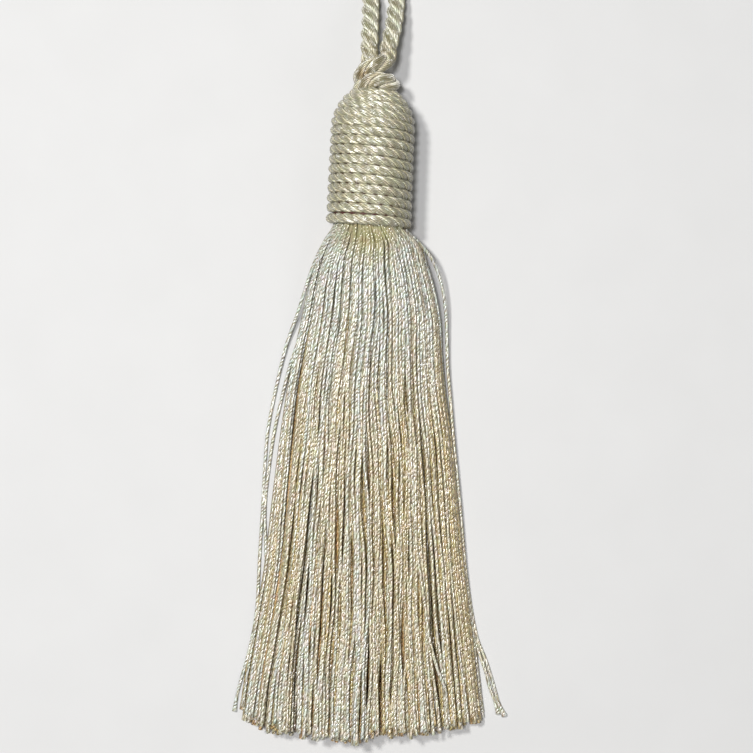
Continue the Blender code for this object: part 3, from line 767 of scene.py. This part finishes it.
def sectionAt(below):
    # The table's columns at any distance, each a cubic between rows with the slope of its neighbours.
    places, columns = skirtSections[:, 0], skirtSections[:, 1:].T
    slopes = np.gradient(columns, places, axis=1)
    row = np.clip(np.searchsorted(places, below) - 1, 0, len(places) - 2)
    gap = places[row + 1] - places[row]
    t = (below - places[row]) / gap
    return [(2 * t**3 - 3 * t**2 + 1) * c[row] + (t**3 - 2 * t**2 + t) * gap * s[row]
            + (3 * t**2 - 2 * t**3) * c[row + 1] + (t**3 - t**2) * gap * s[row + 1]
            for c, s in zip(columns, slopes)]


def bundlePlaces(chance):
    # Places in a unit disc on a golden-ratio lattice, which stays even however it is stretched.
    golden = (1 + math.sqrt(5)) / 2
    scale = math.sqrt(math.pi / skirtSet["threads"] / math.sqrt(5))
    reach = np.arange(-80, 81)  # more than the disc needs
    first, second = np.meshgrid(reach, reach, indexing="ij")
    places = np.stack([first + second * golden, first + second * (1 - golden)], axis=-1)
    places = scale * places.reshape(-1, 2)
    places = places[(places**2).sum(axis=1) < 1.0]
    places *= np.linalg.norm(places, axis=1, keepdims=True).clip(0.05) ** (skirtSet["shell"] - 1.0)
    places += chance.uniform(-1, 1, places.shape) * skirtSet["jitter"]
    places /= np.linalg.norm(places, axis=1, keepdims=True).clip(1.0)
    return places[np.argsort(places[:, 0])]


def lockShift(across, up, below):
    # Threads gather into locks: the sum of two sines across the bundle moves them sideways, each too
    # small to make neighbours change places, and the sum of the cosines lifts the middle of each lock.
    loose = np.clip((below - 12.0) / 45.0, 0.0, 1.0)  # from 12 mm below the rim, in full 45 mm further
    shift, rise = 0.0, 0.0
    for waves, size, phase in skirtSet["locks"]:
        angle = waves * across + phase + skirtSet["lockLean"] * up
        angle = angle + skirtSet["lockDrift"] * waves * (below - 40.0)
        shift = shift - size * np.sin(angle)
        rise = rise + np.cos(angle)
    return loose * shift, loose * rise * 0.5


def placeInSkirt(across, up, below):
    # The disc's place goes to x between the section's edges, and to a height of lowest plus half height
    # times up plus one, or plus the disc's own edge where the bundle lies flat; locks and a slow wave
    # shift it.
    left, right, halfHeight, lowest, flat = sectionAt(below)
    shift, rise = lockShift(across, up, below)
    reach = np.sqrt(np.maximum(0.0, 1.0 - across * across))
    loose = np.clip(below / 50.0, 0.0, 1.0)  # in full 50 mm below the rim
    size, radian = skirtSet["wander"]
    wave = size * loose * np.sin(below / radian + 5.0 * across + 3.0 * up)
    x = 0.5 * (left + right) + 0.5 * (right - left) * (across + shift * reach) + wave * reach
    lift = up + (1.0 - flat) + flat * reach
    z = lowest + halfHeight * lift + skirtSet["lockRise"] * rise * np.clip(lift, 0.0, 1.0)
    return x, z


def threadTubes(line, radius, corners, opening):
    # A round section carried along each line. Over the last millimetres its radius grows by the opening
    # times the square of the share of them that is past.
    openLength = 4.0
    tangent = np.gradient(line, axis=1)
    tangent /= np.linalg.norm(tangent, axis=2)[..., None]
    side = np.cross(np.broadcast_to((0.0, 0.0, 1.0), tangent.shape), tangent)
    side /= np.linalg.norm(side, axis=2)[..., None]
    lift = np.cross(tangent, side)
    steps = np.linalg.norm(np.diff(line, axis=1), axis=2)
    run = np.concatenate([np.zeros((len(line), 1)), np.cumsum(steps, axis=1)], axis=1)
    turn = 2 * math.pi * np.arange(corners) / corners
    wider = 1 + opening * np.clip(1 - (run[:, -1:] - run) / openLength, 0.0, 1.0) ** 2
    size = (radius * wider)[..., None, None]
    section = np.cos(turn)[:, None] * side[:, :, None] + np.sin(turn)[:, None] * lift[:, :, None]
    grid = line[:, :, None] + size * section
    grid[..., 2] = np.maximum(grid[..., 2], 0.02)  # flat where it rests on the surface
    return grid, run


# Each thread has a place in the bundle, a cut end near the hem's line, phases for its own waves, a
# drift, a tint and a radius.
chance = np.random.default_rng(skirtSet["seed"])
places = bundlePlaces(chance)
count = len(places)
across, up = places[:, :1], places[:, 1:]
atHem, _ = placeInSkirt(across, up, np.full((count, 1), 116.0))
ends = (np.interp(atHem, hemLine[:, 0], hemLine[:, 1])
        + skirtSet["uneven"] * chance.normal(-0.2, 0.6, (count, 1)).clip(-1.5, 1.2))
sway, bob = chance.uniform(0, 2 * math.pi, (2, count, 1))
drift = skirtSet["drift"] * chance.normal(0, 1, (count, 1)).clip(-2.5, 2.5)
tints = chance.beta(2.6, 2.6, count) * skirtSet["warmest"]
sizes = skirtSet["radius"] * chance.uniform(*skirtSet["sizes"], (count, 1))


def threadLines(which, rings):
    # Points of the chosen threads from root to cut end: the place in the skirt, plus sines and a square
    # along the thread for its own wander, tangle and drift, which fade towards the bundle's sides.
    a, u, end = across[which], up[which], ends[which]
    below = skirtSet["rootBelow"] + (end - skirtSet["rootBelow"]) * np.linspace(0.0, 1.0, rings)
    x, z = placeInSkirt(a, u, below)
    loose = np.clip((below - 3.0) / 60.0, 0.0, 1.0)  # from 3 mm below the rim, in full 60 mm further
    edge = 1.0 - np.abs(a) ** 3
    lowest, bend = 0.40, 0.2  # of a thread's middle, and how softly it comes to lie there
    for name, power, phase in (("ownWander", 0.5, sway[which]), ("tangle", 0.3, 5.0 * bob[which])):
        size, radian = skirtSet[name]
        x = x + size * loose**power * np.sin(below / radian + phase) * edge
    x = x + drift[which] * loose**2 * edge
    size, radian = skirtSet["bob"]
    z = z + size * loose * np.sin(below / radian + bob[which])
    return np.stack([x, rimY - below, softFloor(z, lowest, bend)], axis=-1)


def threadsOver():
    # The fewest threads that lie over each one at a few places along it.
    beside, above = 0.45, 0.25  # over another: nearer than this sideways, and higher by this
    fewest = np.full(count, count)
    for below in (1.0, 5.0, 12.0, 25.0, 45.0, 70.0, 95.0, 113.0):
        x, z = (v[:, 0] for v in placeInSkirt(across, up, np.full((count, 1), below)))
        over = (np.abs(x[:, None] - x) < beside) & (z - z[:, None] > above)
        fewest = np.minimum(fewest, over.sum(axis=1))
    return fewest


cover = threadsOver()
hidden = cover >= skirtSet["coveredBy"]
# Threads under others get a painted shade: warmer and darker
tints += skirtSet["deeper"] * np.minimum(cover, 2)
print("threads:", count, "shown:", int((~hidden).sum()))

skirtLook = {
    "twist": {"Plies": 2.0, "Turns": 0.333, "Wobble": 2.5, "Offset": 1.0, "Along": 1.2, "Around": 6.0},
    "cool": (0.54, 0.575, 0.53),
    "cream": (0.54, 0.50, 0.365),
    "gold": (0.455, 0.365, 0.17),
    # shade: painted shadow at the root, under the head's rim; groove: painted shade between the two plies
    "olive": (0.375, 0.345, 0.185),
    "groove": (0.36, 0.27, 0.13),
    "middle": (1.0, 1.0, 1.0),
    "rim": (1.0, 1.0, 1.0),
    "oliveAt": (0.4, rimY, 15.0), "oliveSize": (8.6, 10.0, 30.0),
    "oliveInside": 1.0, "oliveOutside": 0.0,
    "patches": (330.0, 18.0, 330.0), "patchShare": 0.9,
    # the first row makes the top cooler, a painted sheen; the second makes the hem cooler and the third the
    # right side warmer
    "warmer": (("Y", rimY - 12.0, rimY - 50.0, -0.46, 0.08), ("Y", rimY - 85.0, rimY - 112.0, 0.0, -0.25),
               ("X", 2.0, 16.0, 0.0, 0.24)),
    "dull": 0.42, "bright": 1.68, "pearl": 0.3,
    # crease: painted warm shade along each thread's sides, where threads meet; glint: painted glints on the
    # brightest streaks
    "rimFrom": 0.40, "crease": (0.64, 0.48, 0.27), "glint": 0.8, "calm": 0.8,
    "roughest": 0.32, "smoothest": 0.18,
    "bump": 1.0, "bumpDepth": 0.13, "gloss": 1.0, "ior": 1.65, "sheen": 0.0, "sheenRoughness": 0.3,
}
skirtSilk = silkMaterial("skirtSilk", skirtLook)

# Threads inside the bundle are warmer and more golden: painted warm shade for the gaps where they show.
innerLook = {
    **skirtLook,
    "cool": (0.66, 0.49, 0.25),
    "cream": (0.62, 0.44, 0.22),
    "gold": (0.58, 0.39, 0.17),
    "groove": (0.50, 0.42, 0.30),
}
innerSilk = silkMaterial("innerSilk", innerLook)


def skirtPiece(name, blocks, material=skirtSilk):
    # One piece of the skirt: it rides on the root and replaces the solid skirt.
    piece = tubePiece(name, blocks, material, endRise=0.05)
    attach(piece, "root")
    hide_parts("thread_skirt")


def threadBlock(which, rings, corners):
    # The chosen threads as a block of tubes; a point's edge is one less the size of the sine of its
    # turn, and sets the painted crease shade along the thread's sides.
    grid, run = threadTubes(threadLines(which, rings), sizes[which], corners, skirtSet["opening"])
    return grid, run, tints[which], 1.0 - np.abs(np.sin(2 * math.pi * np.arange(corners) / corners))


shown = np.flatnonzero(~hidden)
for label, part in zip(("left", "middle", "right"), np.array_split(shown, 3)):
    skirtPiece("skirt_" + label, [threadBlock(part, skirtSet["rings"], skirtSet["corners"])])
skirtPiece("skirt_inner", [threadBlock(np.flatnonzero(hidden), skirtSet["innerRings"],
                                       skirtSet["innerCorners"])], innerSilk)
strays = []
for route, opening in strayRoutes:
    route = [(x, rimY - below, height) for x, below, height in route]
    line = smoothRoute(route, skirtSet["strayStep"])[None]
    tubes = threadTubes(line, np.full((1, 1), skirtSet["radius"]), skirtSet["strayCorners"], opening)
    strays.append((*tubes, np.array([skirtSet["strayTint"]]), 0.0))
skirtPiece("skirt_strays", strays)
print("skirt hung")


floorSet = {
    "half": 2000.0,
    "under": 0.02,  # how far it lies under the tassel
}
floorLook = {
    "dark": (0.54, 0.54, 0.535, 1.0),
    "light": (0.57, 0.57, 0.565, 1.0),
    "grainScale": 60.0, "bump": 0.0, "rough": 0.85,
}


def makeFloor():
    # A wide pale sheet just under the tassel: a flat grid of two by two.
    side = np.array([-1.0, 0.0, 1.0]) * floorSet["half"]
    x, y = np.meshgrid(side, side, indexing="ij")
    vertices = np.stack([x, y, 0 * x - floorSet["under"]], axis=-1).reshape(-1, 3)
    corners = np.array([(i, i + 3, i + 4, i + 1) for i in (0, 1, 3, 4)])
    floor = newPiece("floor", vertices, corners.ravel(), np.full(4, 4), {}, {},
                     grainMaterial("floorPaper", floorLook))


skyLook = {
    "colour": (0.95, 0.97, 1.0, 1.0),
    "strength": 0.10,
}
lightSet = {
    # name: place in metres, size, power and colour; all are aimed at the same point of the tassel
    "keyLight": ((-0.26, 0.12, 0.76), 0.10, 4.85, (1.0, 0.99, 0.97)),
    "fillLight": ((0.45, -0.35, 0.60), 0.50, 0.8, (1.0, 0.97, 0.92)),
    "topLight": ((-0.09, -0.02, 0.845), 0.12, 4.65, (0.98, 0.98, 1.0)),
}


def placeLights(lights, aim=(0.0, -0.05, 0.0)):
    # Round lamps turned so that their own -Z points from their place to the aim, and an even dim sky.
    for name, (place, size, power, colour) in lights.items():
        data = bpy.data.lights.new(name, "AREA")
        data.shape, data.size, data.energy, data.color = "DISK", size, power, colour
        lamp = bpy.data.objects.new(name, data)
        lamp.location = place
        toward = np.array(aim) - np.array(place)
        lamp.rotation_euler = (math.acos(-toward[2] / np.linalg.norm(toward)), 0.0,
                               math.atan2(toward[1], toward[0]) - math.pi / 2)
        bpy.context.scene.collection.objects.link(lamp)
    world = bpy.data.worlds.new("studio")
    world.use_nodes = True
    sky = world.node_tree.nodes["Background"].inputs
    sky["Color"].default_value = skyLook["colour"]
    sky["Strength"].default_value = skyLook["strength"]
    bpy.context.scene.world = world
    bpy.context.scene.view_settings.view_transform = "Standard"


makeFloor()
placeLights(lightSet)
print("floor and lights set")
